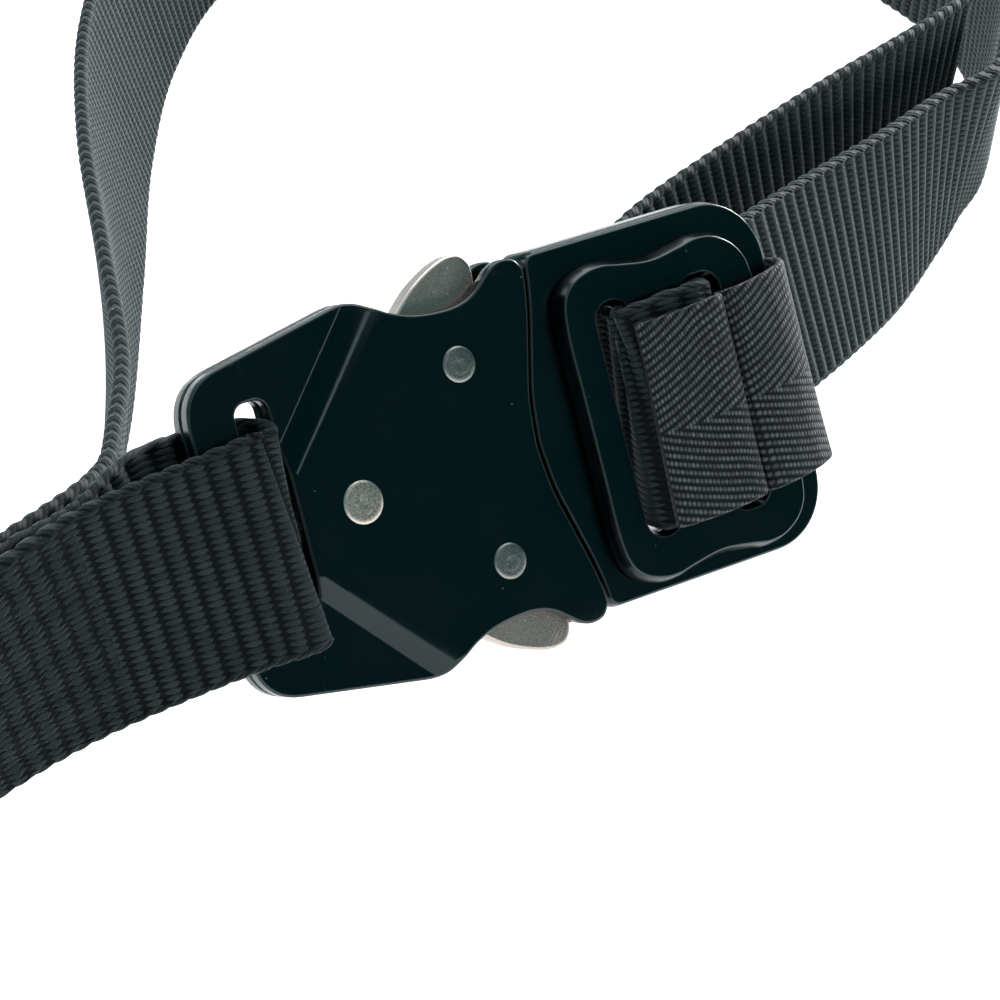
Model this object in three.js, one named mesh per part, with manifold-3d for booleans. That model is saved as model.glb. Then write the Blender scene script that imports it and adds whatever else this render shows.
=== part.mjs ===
// Leg loop of a sit harness: a two-lever quick-release buckle on 25 mm webbing.
// Millimetres, +Z up, the loop stands on the floor (z = 0) and the buckle leans back.
import * as THREE from 'three';
import { mergeVertices } from 'three/addons/utils/BufferGeometryUtils.js';
import Module from 'manifold-3d';

const wasm = await Module();
wasm.setup();

// Buckle's place: turned about the vertical, then leant back.
const BUCKLE_TURN = 32.8; // degrees
const BUCKLE_LEAN = 27.5; // degrees
const BUCKLE_HEIGHT = 21.8; // its middle above the floor

// Female half. u runs along the strap, v across it, n out of the front.
const PLATE = 1.9; // sheet thickness
const TAB_GAP = 0.15; // half the gap where the two plates meet at the strap end
const CAVITY = 1.6; // half the room between the raised pans
const PAN_DROP = 1.45; // height of the formed step
const PAN_RUN = 2.75; // width of the formed step
const PAN_START = { left: -23.3, half: 5.3 }; // strap side of the raised pan
const PAN_INSIDE = { left: -19.8, half: 6.6 }; // the same line of the room inside
const PAN_REACH = { right: 60, half: 34, depth: 20 }; // past the plates' outline
const PLATE_END = -33.9; // strap end of the plates
const PLATE_CORNER = { half: 12.8, bend: 18.1, u: -28.9, v: 19.0 }; // from the end's edge to the side
const PLATE_SHOULDER = { u: -13.4, v: 21.86 }; // where the side's straight edge stops
const STRAP_SLOT = { left: -28.1, right: -24.0, half: 14.7, corner: 1.5 };
const EDGE = 0.45; // broken edge of the plates

// Rivets and levers
const RIVET_GAP = 0.3;
const RIVET_PROUD = 0.25;
const CENTRE_RIVET = { u: -16.2, radius: 2.5 };
const LEVER_RIVET = { v: 11.7, radius: 2.1 };
const LEVER_HALF = 1.3; // half thickness
const UPPER_PLAY = 5; // degrees by which the upper lever stands further out

// Male half
const FRAME = { left: 13.6, right: 44.3, half: 21.5, corner: 8.0, shift: 0.2, back: -3.0, front: 2.7 };
const FRAME_HORN = { bend: 11.9, u: 11.65, v: 19.9 }; // round end beside the mouth
const FRAME_WINDOW = { left: 17.5, right: 36.0, half: 15.7, corner: 2.2 };
const MOUTH_GAP = 0.4;
const TONGUE = { root: 14, neck: 7.0, head: 9.2, shoulder: -7.6, tip: -12.6, half: 1.3 };
const TONGUE_CORNER = { u: 2.6, v: 3.0 };

// Adjuster plate
const ADJUSTER = { back: 3.0, front: 5.3, shift: -0.7 };
const LEFT_SLOT = { left: 17.6, right: 22.0, half: 14.65, shift: -0.75, corner: 1.2 };
const RIGHT_SLOT = { left: 30.3, right: 34.8, half: 14.65, shift: -0.75, corner: 1.2 };

// Webbing and tape
const WEB_WIDTH = 25;
const WEB_THICK = 2.2;
const TAPE_WIDTH = 24.4;
const TAPE_THICK = 0.9;
const PLY = 2.5; // pitch of sewn plies

// Upper half of the female plates' outline, from the strap end's shoulder to the mouth.
const PLATE_FLANK = [
  { u: -11.8, v: 22.0 },
  { u: -10.4, v: 21.65 },
  { u: -8.7, v: 20.7 },
  { u: -6.5, v: 19.45 },
  { u: -3.6, v: 18.5 },
  { u: 0, v: 18.15 },
  { u: 2.4, v: 18.4 },
  { u: 4.1, v: 19.1 },
  { u: 5.7, v: 20.3 },
  { u: 7.1, v: 21.35 },
  { u: 8.7, v: 21.8 },
  { u: 10.3, v: 21.4 },
  { u: 11.2, v: 20.2 },
];
const MOUTH = [
  { u: 11.1, v: 18.4 },
  { u: 10.4, v: 14.9 },
  { u: 9.25, v: 10.6 },
  { u: 7.9, v: 5.4 },
  { u: 7.3, v: 0 },
];

// Lever outline about its rivet: finger tab above, hook towards the strap end.
const LEVER = [
  { x: 6.6, y: 8.6 },
  { x: 6.6, y: 10.2 },
  { x: 5.7, y: 11.4 },
  { x: 4.2, y: 11.75 },
  { x: 2.7, y: 11.55 },
  { x: 1.2, y: 11.1 },
  { x: -0.5, y: 10.4 },
  { x: -2.1, y: 9.55 },
  { x: -4.3, y: 7.9 },
  { x: -5.3, y: 6.4 },
  { x: -5.6, y: 4.2 },
  { x: -7.0, y: 1.2 },
  { x: -7.1, y: 0 },
  { x: -6.9, y: -1.7 },
  { x: -6.06, y: -3.7 },
  { x: -3.2, y: -3.7 },
  { x: -1.3, y: -3.68 },
  { x: 0.6, y: -3.85 },
  { x: 2.5, y: -3.0 },
  { x: 3.7, y: -1.2 },
  { x: 4.3, y: 1.5 },
  { x: 5.7, y: 5.2 },
];

// Upper half of the adjuster plate's waisted outline.
const ADJUSTER_EDGE = [
  { u: 13.3, v: 13.0 },
  { u: 13.9, v: 15.9 },
  { u: 15.6, v: 18.0 },
  { u: 18.2, v: 19.05 },
  { u: 20.6, v: 19.2 },
  { u: 23.0, v: 18.75 },
  { u: 27.0, v: 18.2 },
  { u: 31.0, v: 18.7 },
  { u: 33.6, v: 19.15 },
  { u: 36.2, v: 18.8 },
  { u: 38.7, v: 17.3 },
  { u: 40.2, v: 15.1 },
  { u: 40.7, v: 12.4 },
];

// Webbing through the buckle, in its u, v, n.
const EYE = [
  { u: -38.0, v: 0.2, n: -2.9 },
  { u: -33.5, v: 0.5, n: -3.6 },
  { u: -29.6, v: 0.5, n: -3.75 },
  { u: -27.6, v: 0.3, n: -3.3 },
  { u: -26.2, v: 0, n: -2.0 },
  { u: -25.7, v: -0.5, n: 0 },
  { u: -26.2, v: -1.0, n: 2.0 },
  { u: -27.6, v: -1.3, n: 3.3 },
  { u: -29.6, v: -1.5, n: 3.75 },
  { u: -33.5, v: -1.9, n: 3.6 },
];
const THREADING = [
  { u: 32.7, v: 1.2, n: -4.6 },
  { u: 32.2, v: 0.9, n: -1.0 },
  { u: 31.95, v: 0.7, n: 2.6 },
  { u: 31.9, v: 0.7, n: 5.1, skew: 0.02 },
  { u: 31.5, v: 0.7, n: 6.4, skew: 0.02 },
  { u: 30.4, v: 0.7, n: 6.95 },
  { u: 26.9, v: 0.7, n: 7.05 },
  { u: 22.5, v: 0.7, n: 7.05 },
  { u: 20.9, v: 0.7, n: 6.95 },
  { u: 19.85, v: 0.7, n: 6.4, skew: 0.03 },
  { u: 19.5, v: 0.7, n: 5.5, skew: 0.05 },
  { u: 19.7, v: 0.7, n: 4.4, skew: 0.05 },
  { u: 20.35, v: 0.7, n: 2.2, skew: 0.03 },
  { u: 20.9, v: 0.8, n: -1.0 },
  { u: 21.2, v: 1.2, n: -4.6 },
];
const TAPE = [
  { u: 20.3, v: -1.7, n: 8.7 },
  { u: 21.8, v: -1.7, n: 8.85 },
  { u: 24.0, v: -1.6, n: 8.9 },
  { u: 27.4, v: -1.4, n: 8.9 },
  { u: 30.4, v: -1.15, n: 8.85 },
  { u: 31.9, v: -1.0, n: 8.6 },
  { u: 33.0, v: -0.95, n: 8.0, skew: 0.02 },
  { u: 33.45, v: -0.95, n: 7.2, skew: 0.03 },
  { u: 33.7, v: -0.95, n: 6.5, skew: 0.03 },
  { u: 34.1, v: -0.95, n: 6.05, skew: 0.03 },
  { u: 34.6, v: -0.95, n: 6.3, skew: 0.02 },
  { u: 35.1, v: -0.95, n: 6.85 },
  { u: 36.0, v: -0.9, n: 7.2 },
  { u: 37.6, v: -0.6, n: 7.2 },
  { u: 39.8, v: -0.2, n: 6.95 },
  { u: 42.0, v: 0.1, n: 6.35 },
  { u: 44.4, v: 0.4, n: 4.9 },
  { u: 45.8, v: 0.5, n: 2.6 },
  { u: 46.3, v: 0.6, n: -0.2 },
  { u: 45.7, v: 0.5, n: -2.9 },
  { u: 44.0, v: 0.3, n: -4.1 },
  { u: 41.2, v: 0, n: -4.2 },
  { u: 37.4, v: -0.4, n: -4.2 },
];

// Sewn tab in front of the strap end: centre line of its front ply and the lean of its upper edge.
const TAB = [
  { x: -30.5, y: -24.3, z: 21.0, wx: -0.25, wy: 0.36 },
  { x: -38.0, y: -29.6, z: 20.6, wx: -0.21, wy: 0.26 },
  { x: -45.5, y: -35.6, z: 19.2, wx: -0.15, wy: 0.14 },
  { x: -52.5, y: -42.0, z: 17.2, wx: -0.1, wy: 0.05 },
  { x: -59.0, y: -49.0, z: 15.0, wx: -0.06, wy: 0 },
  { x: -64.4, y: -55.8, z: 13.0, wx: -0.04, wy: 0 },
];
// Loop from the tab's back round the leg to the adjuster.
const LOOP = [
  { x: -42.2, y: -20.5, z: 16.8, wx: -0.16, wy: 0.22 },
  { x: -40.0, y: -10.5, z: 15.0, wx: -0.1, wy: 0.12 },
  { x: -40.6, y: 2.0, z: 13.6, wx: -0.06, wy: 0.03 },
  { x: -42.6, y: 20.0, z: 12.7, wx: -0.07, wy: 0 },
  { x: -46.0, y: 50.0, z: 12.4, wx: -0.16, wy: 0 },
  { x: -49.6, y: 86.0, z: 12.2, wx: -0.26, wy: 0 },
  { x: -52.0, y: 122.0, z: 12.0, wx: -0.32, wy: 0 },
  { x: -50.6, y: 156.0, z: 12.1, wx: -0.28, wy: 0.03 },
  { x: -43.6, y: 188.0, z: 12.3, wx: -0.18, wy: 0.06 },
  { x: -28.4, y: 214.0, z: 12.5, wx: -0.06, wy: 0.06 },
  { x: -4.0, y: 229.0, z: 12.5, wx: 0, wy: 0.04 },
  { x: 23.0, y: 228.0, z: 12.5, wx: 0.04, wy: 0.05 },
  { x: 46.5, y: 213.0, z: 12.4, wx: 0.12, wy: 0.06 },
  { x: 63.4, y: 189.0, z: 12.3, wx: 0.2, wy: 0.04 },
  { x: 72.4, y: 165.0, z: 12.3, wx: 0.2, wy: 0.02 },
  { x: 77.0, y: 140.0, z: 12.3, wx: 0.2, wy: 0 },
  { x: 73.4, y: 117.0, z: 12.4, wx: 0.16, wy: 0 },
  { x: 63.6, y: 94.0, z: 12.9, wx: 0.02, wy: 0.06 },
  { x: 54.8, y: 76.0, z: 14.4, wx: -0.1, wy: 0.2 },
  { x: 45.6, y: 59.5, z: 16.4, wx: -0.19, wy: 0.32 },
  { x: 36.4, y: 43.5, z: 18.2, wx: -0.23, wy: 0.37 },
  { x: 29.2, y: 30.6, z: 19.2, wx: -0.25, wy: 0.39 },
];
// Free tail behind the front ply.
const TAIL = [
  { x: 17.2, y: 27.0, z: 20.0, wx: -0.25, wy: 0.38 },
  { x: 22.6, y: 42.4, z: 19.6, wx: -0.22, wy: 0.34 },
  { x: 35.4, y: 64.0, z: 19.4, wx: -0.14, wy: 0.24 },
  { x: 48.6, y: 85.0, z: 19.2, wx: -0.04, wy: 0.1 },
  { x: 60.6, y: 104.0, z: 18.8, wx: 0.08, wy: -0.02 },
  { x: 69.0, y: 119.0, z: 18.4, wx: 0.16, wy: -0.06 },
];

const radians = THREE.MathUtils.degToRad;
const turn = radians(BUCKLE_TURN);
const lean = radians(BUCKLE_LEAN);
const along = new THREE.Vector3(Math.cos(turn), Math.sin(turn), 0);
const back = new THREE.Vector3(-Math.sin(turn), Math.cos(turn), 0);
const up = new THREE.Vector3(0, 0, 1);
const across = up.clone().multiplyScalar(Math.cos(lean)).addScaledVector(back, Math.sin(lean));
const outward = up.clone().multiplyScalar(Math.sin(lean)).addScaledVector(back, -Math.cos(lean));

function fromBuckle({ u, v, n }) {
  return new THREE.Vector3(0, 0, BUCKLE_HEIGHT)
    .addScaledVector(along, u)
    .addScaledVector(across, v)
    .addScaledVector(outward, n);
}

function toSolid(geometry) {
  geometry.deleteAttribute('normal');
  geometry.deleteAttribute('uv');
  const merged = mergeVertices(geometry, 1e-4);
  const vertProperties = new Float32Array(merged.attributes.position.array);
  const triVerts = new Uint32Array(merged.index.array);
  return new wasm.Manifold(new wasm.Mesh({ numProp: 3, vertProperties, triVerts }));
}

function toMesh(solid, name, material) {
  const { numProp, vertProperties, triVerts } = solid.getMesh();
  const positions = new Float32Array((vertProperties.length / numProp) * 3);
  for (let i = 0; i < positions.length / 3; i += 1) {
    positions.set(vertProperties.subarray(i * numProp, i * numProp + 3), i * 3);
  }
  const geometry = new THREE.BufferGeometry();
  geometry.setAttribute('position', new THREE.BufferAttribute(positions, 3));
  geometry.setIndex(new THREE.BufferAttribute(new Uint32Array(triVerts), 1));
  geometry.computeVertexNormals();
  const mesh = new THREE.Mesh(geometry, material);
  mesh.name = name;
  return mesh;
}

// Prism between two heights with its edges broken by the given amount.
function prism(shape, low, high, edge = 0, steps = 1) {
  const geometry = new THREE.ExtrudeGeometry(shape, {
    depth: high - low - 2 * edge,
    curveSegments: 3,
    bevelEnabled: edge > 0,
    bevelThickness: edge,
    bevelSize: edge,
    bevelOffset: -edge,
    bevelSegments: steps,
  });
  geometry.translate(0, 0, low + edge);
  return toSolid(geometry);
}

function pin(u, v, radius, low, high, edge = 0.3) {
  const profile = [
    new THREE.Vector2(0, low),
    new THREE.Vector2(radius - edge, low),
    new THREE.Vector2(radius, low + edge),
    new THREE.Vector2(radius, high - edge),
    new THREE.Vector2(radius - edge, high),
    new THREE.Vector2(0, high),
  ];
  const geometry = new THREE.LatheGeometry(profile, 28);
  geometry.rotateX(Math.PI / 2);
  geometry.translate(u, v, 0);
  return toSolid(geometry);
}

function hole(u, v, radius) {
  const disc = new THREE.Shape();
  disc.absarc(u, v, radius, 0, 2 * Math.PI);
  const geometry = new THREE.ExtrudeGeometry(disc, { depth: 40, curveSegments: 14, bevelEnabled: false });
  geometry.translate(0, 0, -20);
  return toSolid(geometry);
}

// Rounded opening cut through everything.
function opening({ left, right, half, shift = 0, corner }) {
  const r = corner ?? (right - left) / 2 - 0.01;
  const low = shift - half;
  const high = shift + half;
  const shape = new THREE.Shape();
  shape.moveTo(left + r, low);
  shape.lineTo(right - r, low);
  shape.absarc(right - r, low + r, r, -Math.PI / 2, 0);
  shape.lineTo(right, high - r);
  shape.absarc(right - r, high - r, r, 0, Math.PI / 2);
  shape.lineTo(left + r, high);
  shape.absarc(left + r, high - r, r, Math.PI / 2, Math.PI);
  shape.lineTo(left, low + r);
  shape.absarc(left + r, low + r, r, Math.PI, 1.5 * Math.PI);
  const geometry = new THREE.ExtrudeGeometry(shape, { depth: 40, curveSegments: 3, bevelEnabled: false });
  geometry.translate(0, 0, -20);
  return toSolid(geometry);
}

const flip = (points) => points.map(({ u, v }) => new THREE.Vector2(u, -v)).reverse();
const plain = (points) => points.map(({ u, v }) => new THREE.Vector2(u, v));

function plateShape() {
  const shape = new THREE.Shape();
  const { half, bend, u: cornerU, v: cornerV } = PLATE_CORNER;
  shape.moveTo(PLATE_END, -half);
  shape.quadraticCurveTo(PLATE_END, -bend, cornerU, -cornerV);
  shape.lineTo(PLATE_SHOULDER.u, -PLATE_SHOULDER.v);
  shape.splineThru(PLATE_FLANK.map(({ u, v }) => new THREE.Vector2(u, -v)));
  shape.splineThru(MOUTH.map(({ u, v }) => new THREE.Vector2(u, -v)));
  shape.splineThru(plain([PLATE_FLANK.at(-1), ...MOUTH.slice(0, -1)]).reverse());
  shape.splineThru(plain([PLATE_SHOULDER, ...PLATE_FLANK.slice(0, -1)]).reverse());
  shape.lineTo(cornerU, cornerV);
  shape.quadraticCurveTo(PLATE_END, bend, PLATE_END, half);
  return shape;
}

// Raised pan: straight across the slot and slanting at 45 degrees towards both shoulders.
function panSolid({ left, half }, top) {
  const { right, half: reach, depth } = PAN_REACH;
  const shape = new THREE.Shape();
  shape.moveTo(left, -half);
  shape.lineTo(left + reach - half, -reach);
  shape.lineTo(right, -reach);
  shape.lineTo(right, reach);
  shape.lineTo(left + reach - half, reach);
  shape.lineTo(left, half);
  const geometry = new THREE.ExtrudeGeometry(shape, {
    depth,
    bevelEnabled: true,
    bevelThickness: PAN_DROP,
    bevelSize: PAN_RUN,
    bevelSegments: 1,
  });
  geometry.translate(0, 0, top - depth - PAN_DROP);
  return toSolid(geometry);
}

function femalePlate() {
  const outline = plateShape();
  const tabTop = TAB_GAP + PLATE;
  const panTop = CAVITY + PLATE;
  const tab = prism(outline, TAB_GAP, tabTop, EDGE, 2);
  const pan = panSolid(PAN_START, panTop);
  const raised = prism(outline, TAB_GAP, panTop, EDGE, 2).intersect(pan);
  let plate = tab.add(raised).subtract(panSolid(PAN_INSIDE, CAVITY));
  plate = plate.subtract(opening(STRAP_SLOT));
  plate = plate.subtract(hole(CENTRE_RIVET.u, 0, CENTRE_RIVET.radius + RIVET_GAP));
  for (const side of [-1, 1]) {
    plate = plate.subtract(hole(0, side * LEVER_RIVET.v, LEVER_RIVET.radius + RIVET_GAP));
  }
  return plate;
}

function leverSolid() {
  const shape = new THREE.Shape(LEVER.map(({ x, y }) => new THREE.Vector2(x, y)));
  const body = prism(shape, -LEVER_HALF, LEVER_HALF, 0.3);
  return body.subtract(hole(0, 0, LEVER_RIVET.radius + RIVET_GAP));
}

function maleSolid() {
  const shape = new THREE.Shape();
  const { left, right, half, corner } = FRAME;
  const lip = MOUTH.map(({ u, v }) => new THREE.Vector2(u + MOUTH_GAP, v));
  shape.moveTo(left, -half);
  shape.lineTo(right - corner, -half);
  shape.absarc(right - corner, -half + corner, corner, -Math.PI / 2, 0);
  shape.lineTo(right, half - corner);
  shape.absarc(right - corner, half - corner, corner, 0, Math.PI / 2);
  shape.lineTo(left, half);
  shape.quadraticCurveTo(FRAME_HORN.bend, half, FRAME_HORN.u, FRAME_HORN.v);
  shape.splineThru(lip);
  shape.splineThru(lip.slice(0, -1).map(({ x, y }) => new THREE.Vector2(x, -y)).reverse());
  shape.lineTo(FRAME_HORN.u, -FRAME_HORN.v);
  shape.quadraticCurveTo(FRAME_HORN.bend, -half, left, -half);
  const frame = prism(shape, FRAME.back, FRAME.front, 0.6, 2).translate([0, FRAME.shift, 0]);
  const tongue = new THREE.Shape();
  const { root, neck, head, shoulder, tip } = TONGUE;
  tongue.moveTo(root, -neck);
  tongue.lineTo(root, neck);
  tongue.lineTo(shoulder, neck);
  tongue.lineTo(shoulder, head);
  tongue.lineTo(tip + TONGUE_CORNER.u, head);
  tongue.lineTo(tip, head - TONGUE_CORNER.v);
  tongue.lineTo(tip, -head + TONGUE_CORNER.v);
  tongue.lineTo(tip + TONGUE_CORNER.u, -head);
  tongue.lineTo(shoulder, -head);
  tongue.lineTo(shoulder, -neck);
  const body = frame.add(prism(tongue, -TONGUE.half, TONGUE.half, 0.3));
  return body.subtract(opening(FRAME_WINDOW));
}

function adjusterSolid() {
  const shape = new THREE.Shape();
  shape.moveTo(ADJUSTER_EDGE[0].u, -ADJUSTER_EDGE[0].v);
  shape.splineThru(ADJUSTER_EDGE.slice(1).map(({ u, v }) => new THREE.Vector2(u, -v)));
  shape.lineTo(ADJUSTER_EDGE.at(-1).u, ADJUSTER_EDGE.at(-1).v);
  shape.splineThru(plain(ADJUSTER_EDGE.slice(0, -1)).reverse());
  const body = prism(shape, ADJUSTER.back, ADJUSTER.front, 0.7, 2);
  const shifted = body.translate([0, ADJUSTER.shift, 0]);
  return shifted.subtract(opening(LEFT_SLOT)).subtract(opening(RIGHT_SLOT));
}

// Ribbon swept through stations { p, w, steps }: p is its middle, w points to its upper edge.
function ribbon(stations, width, thick) {
  const middle = new THREE.CatmullRomCurve3(stations.map(({ p }) => p), false, 'centripetal');
  const edges = new THREE.CatmullRomCurve3(
    stations.map(({ p, w }) => p.clone().addScaledVector(w, width / 2)), false, 'centripetal');
  const rings = [];
  const spans = stations.length - 1;
  for (let i = 0; i < spans; i += 1) {
    const steps = stations[i].steps ?? 2;
    for (let k = 0; k < steps; k += 1) rings.push((i + k / steps) / spans);
  }
  rings.push(1);
  const round = Math.min(0.55, thick / 3);
  const section = [
    [-width / 2, -thick / 2 + round], [-width / 2 + round, -thick / 2],
    [width / 2 - round, -thick / 2], [width / 2, -thick / 2 + round],
    [width / 2, thick / 2 - round], [width / 2 - round, thick / 2],
    [-width / 2 + round, thick / 2], [-width / 2, thick / 2 - round],
  ];
  const positions = [];
  for (const t of rings) {
    const p = middle.getPoint(t);
    const tangent = middle.getTangent(t);
    const w = edges.getPoint(t).sub(p);
    w.addScaledVector(tangent, -w.dot(tangent)).normalize();
    const face = tangent.clone().cross(w).normalize();
    for (const [a, b] of section) {
      positions.push(...p.clone().addScaledVector(w, a).addScaledVector(face, b).toArray());
    }
  }
  const sides = section.length;
  const index = [];
  for (let i = 0; i < rings.length - 1; i += 1) {
    for (let k = 0; k < sides; k += 1) {
      const a = i * sides + k;
      const b = i * sides + ((k + 1) % sides);
      index.push(a, b, b + sides, a, b + sides, a + sides);
    }
  }
  const last = (rings.length - 1) * sides;
  for (let k = 1; k < sides - 1; k += 1) {
    index.push(0, k + 1, k, last, last + k, last + k + 1);
  }
  const geometry = new THREE.BufferGeometry();
  geometry.setAttribute('position', new THREE.BufferAttribute(new Float32Array(positions), 3));
  geometry.setIndex(index);
  return toSolid(geometry);
}

function inBuckle(row) {
  const w = across.clone().addScaledVector(along, row.skew ?? 0).normalize();
  return { p: fromBuckle(row), w, steps: 1 };
}

function onFloor({ x, y, z, wx, wy }) {
  const w = new THREE.Vector3(wx, wy, Math.sqrt(1 - wx * wx - wy * wy));
  return { p: new THREE.Vector3(x, y, z), w, steps: 2 };
}

// The tab's plies lie behind one another at an even pitch.
function tabPly(depth, first, last) {
  const rows = TAB.map(onFloor);
  const path = new THREE.CatmullRomCurve3(rows.map(({ p }) => p), false, 'centripetal');
  return rows.map(({ p, w }, i) => {
    const tangent = path.getTangent(i / (rows.length - 1));
    const rear = w.clone().cross(tangent).normalize();
    return { p: p.clone().addScaledVector(rear, -depth), w, steps: 2 };
  }).slice(first, last);
}

function tabFold() {
  const front = tabPly(0, TAB.length - 1)[0];
  const rear = tabPly(2 * PLY, TAB.length - 1)[0];
  const tangent = front.p.clone().sub(tabPly(0, TAB.length - 2)[0].p).normalize();
  const middle = front.p.clone().add(rear.p).multiplyScalar(0.5);
  const reach = front.p.clone().sub(middle);
  return [45, 90, 135].map((angle) => ({
    p: middle.clone()
      .addScaledVector(reach, Math.cos(radians(angle)))
      .addScaledVector(tangent, reach.length() * Math.sin(radians(angle))),
    w: front.w,
    steps: 2,
  }));
}

function mainWebbing() {
  const stations = [
    ...tabPly(PLY, 1, TAB.length - 1).reverse(),
    ...EYE.map(inBuckle),
    ...tabPly(0, 1),
    ...tabFold(),
    ...tabPly(2 * PLY, 3).reverse(),
    ...LOOP.map(onFloor),
    ...THREADING.map(inBuckle),
    ...TAIL.map(onFloor),
  ];
  return ribbon(stations, WEB_WIDTH, WEB_THICK);
}

function finish(colour, roughness, metalness) {
  return new THREE.MeshStandardMaterial({ color: colour, roughness, metalness });
}
const anodised = () => finish(0x0b171a, 0.38, 0.85);
const steel = () => finish(0x8c8a84, 0.42, 1);
const dullSteel = () => finish(0x565b5c, 0.5, 1);
const cloth = () => finish(0x24272b, 0.9, 0);
const tapeCloth = () => finish(0x45464a, 0.85, 0);

const part = new THREE.Group();
part.name = 'leg_loop';
const laid = new THREE.Group();
laid.name = 'laid';
part.add(laid);

const buckle = new THREE.Group();
buckle.name = 'buckle';
buckle.position.set(0, 0, BUCKLE_HEIGHT);
buckle.setRotationFromMatrix(new THREE.Matrix4().makeBasis(along, across, outward));
laid.add(buckle);

const plate = femalePlate();
buckle.add(toMesh(plate, 'female_top_plate', anodised()));
buckle.add(toMesh(plate.mirror([0, 0, 1]), 'female_back_plate', anodised()));
buckle.add(toMesh(maleSolid(), 'male_frame', anodised()));
buckle.add(toMesh(adjusterSolid(), 'adjuster_plate', anodised()));

const proud = CAVITY + PLATE + RIVET_PROUD;
buckle.add(toMesh(pin(CENTRE_RIVET.u, 0, CENTRE_RIVET.radius, -proud, proud), 'rivet_centre', steel()));
const lever = leverSolid();
for (const [name, side] of [['upper', 1], ['lower', -1]]) {
  const v = side * LEVER_RIVET.v;
  buckle.add(toMesh(pin(0, v, LEVER_RIVET.radius, -proud, proud), `rivet_${name}`, dullSteel()));
  const turned = side > 0 ? lever.rotate([0, 0, UPPER_PLAY]) : lever.mirror([0, 1, 0]);
  const shaped = turned.translate([0, v, 0]);
  buckle.add(toMesh(shaped, `lever_${name}`, steel()));
}

laid.add(toMesh(mainWebbing(), 'main_webbing', cloth()));
laid.add(toMesh(ribbon(TAPE.map(inBuckle), TAPE_WIDTH, TAPE_THICK), 'adjuster_tape', tapeCloth()));

// The origin is the middle of the loop's foot.
const box = new THREE.Box3().setFromObject(laid, true);
laid.position.set(-(box.min.x + box.max.x) / 2, -(box.min.y + box.max.y) / 2, -box.min.z);

export default part;
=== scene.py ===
import math
import bmesh
import bpy
import numpy as np
from mathutils import Matrix, Vector


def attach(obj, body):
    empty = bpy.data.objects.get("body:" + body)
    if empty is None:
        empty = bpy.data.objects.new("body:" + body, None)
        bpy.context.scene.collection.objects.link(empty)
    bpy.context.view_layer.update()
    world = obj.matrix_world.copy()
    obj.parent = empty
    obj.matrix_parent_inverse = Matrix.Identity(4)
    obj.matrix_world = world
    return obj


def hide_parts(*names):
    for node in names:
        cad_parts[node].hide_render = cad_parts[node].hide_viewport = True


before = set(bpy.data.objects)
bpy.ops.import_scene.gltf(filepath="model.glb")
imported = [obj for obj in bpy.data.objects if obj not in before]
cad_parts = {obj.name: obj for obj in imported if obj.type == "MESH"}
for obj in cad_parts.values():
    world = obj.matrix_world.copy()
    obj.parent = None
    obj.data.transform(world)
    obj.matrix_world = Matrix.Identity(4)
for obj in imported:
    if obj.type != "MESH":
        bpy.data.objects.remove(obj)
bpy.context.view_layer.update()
scene = bpy.context.scene
mm = 0.001
print("frame loaded:", len(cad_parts), "nodes")

# The buckle's own axes in millimetres: u along the strap, v across it, n out of its front.
buckle = {"turn": 32.8, "lean": 27.5, "middle": (-4.7847, -86.7221, 21.9428)}
turn = math.radians(buckle["turn"])
lean = math.radians(buckle["lean"])
along = Vector((math.cos(turn), math.sin(turn), 0))
behind = Vector((-math.sin(turn), math.cos(turn), 0))
across = Vector((0, 0, math.cos(lean))) + behind * math.sin(lean)
outward = Vector((0, 0, math.sin(lean))) - behind * math.cos(lean)
middle = Vector(buckle["middle"])
axes = Matrix((along, across, outward)).transposed().to_4x4()
toFrame = Matrix.Scale(mm, 4) @ Matrix.Translation(middle) @ axes


def fromBuckle(u, v, n):
    return middle + along * u + across * v + outward * n


# Shader helpers
def addNode(tree, kind, **settings):
    node = tree.nodes.new(kind)
    for key, value in settings.items():
        setattr(node, key, value)
    return node


def plug(tree, socket, value):
    if isinstance(value, bpy.types.NodeSocket):
        tree.links.new(value, socket)
    else:
        socket.default_value = value


def calc(tree, operation, *values):
    node = addNode(tree, "ShaderNodeMath", operation=operation)
    for socket, value in zip(node.inputs, values):
        plug(tree, socket, value)
    return node.outputs[0]


def times(tree, a, b):
    return calc(tree, "MULTIPLY", a, b)


def plus(tree, a, b):
    return calc(tree, "ADD", a, b)


def minus(tree, a, b):
    return calc(tree, "SUBTRACT", a, b)


def blendColour(tree, share, low, high):
    node = addNode(tree, "ShaderNodeMix", data_type="RGBA")
    plug(tree, node.inputs["Factor"], share)
    plug(tree, node.inputs[6], low)
    plug(tree, node.inputs[7], high)
    return node.outputs[2]


def span(tree, value, low, high, outLow=0.0, outHigh=1.0):
    node = addNode(tree, "ShaderNodeMapRange", interpolation_type="SMOOTHSTEP")
    for socket, given in zip(node.inputs, (value, low, high, outLow, outHigh)):
        plug(tree, socket, given)
    return node.outputs[0]


def noise(tree, place, scale, detail=3.0, rough=0.55):
    node = addNode(tree, "ShaderNodeTexNoise")
    for label, value in (("Vector", place), ("Scale", scale), ("Detail", detail), ("Roughness", rough)):
        plug(tree, node.inputs[label], value)
    return node.outputs["Fac"]


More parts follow.
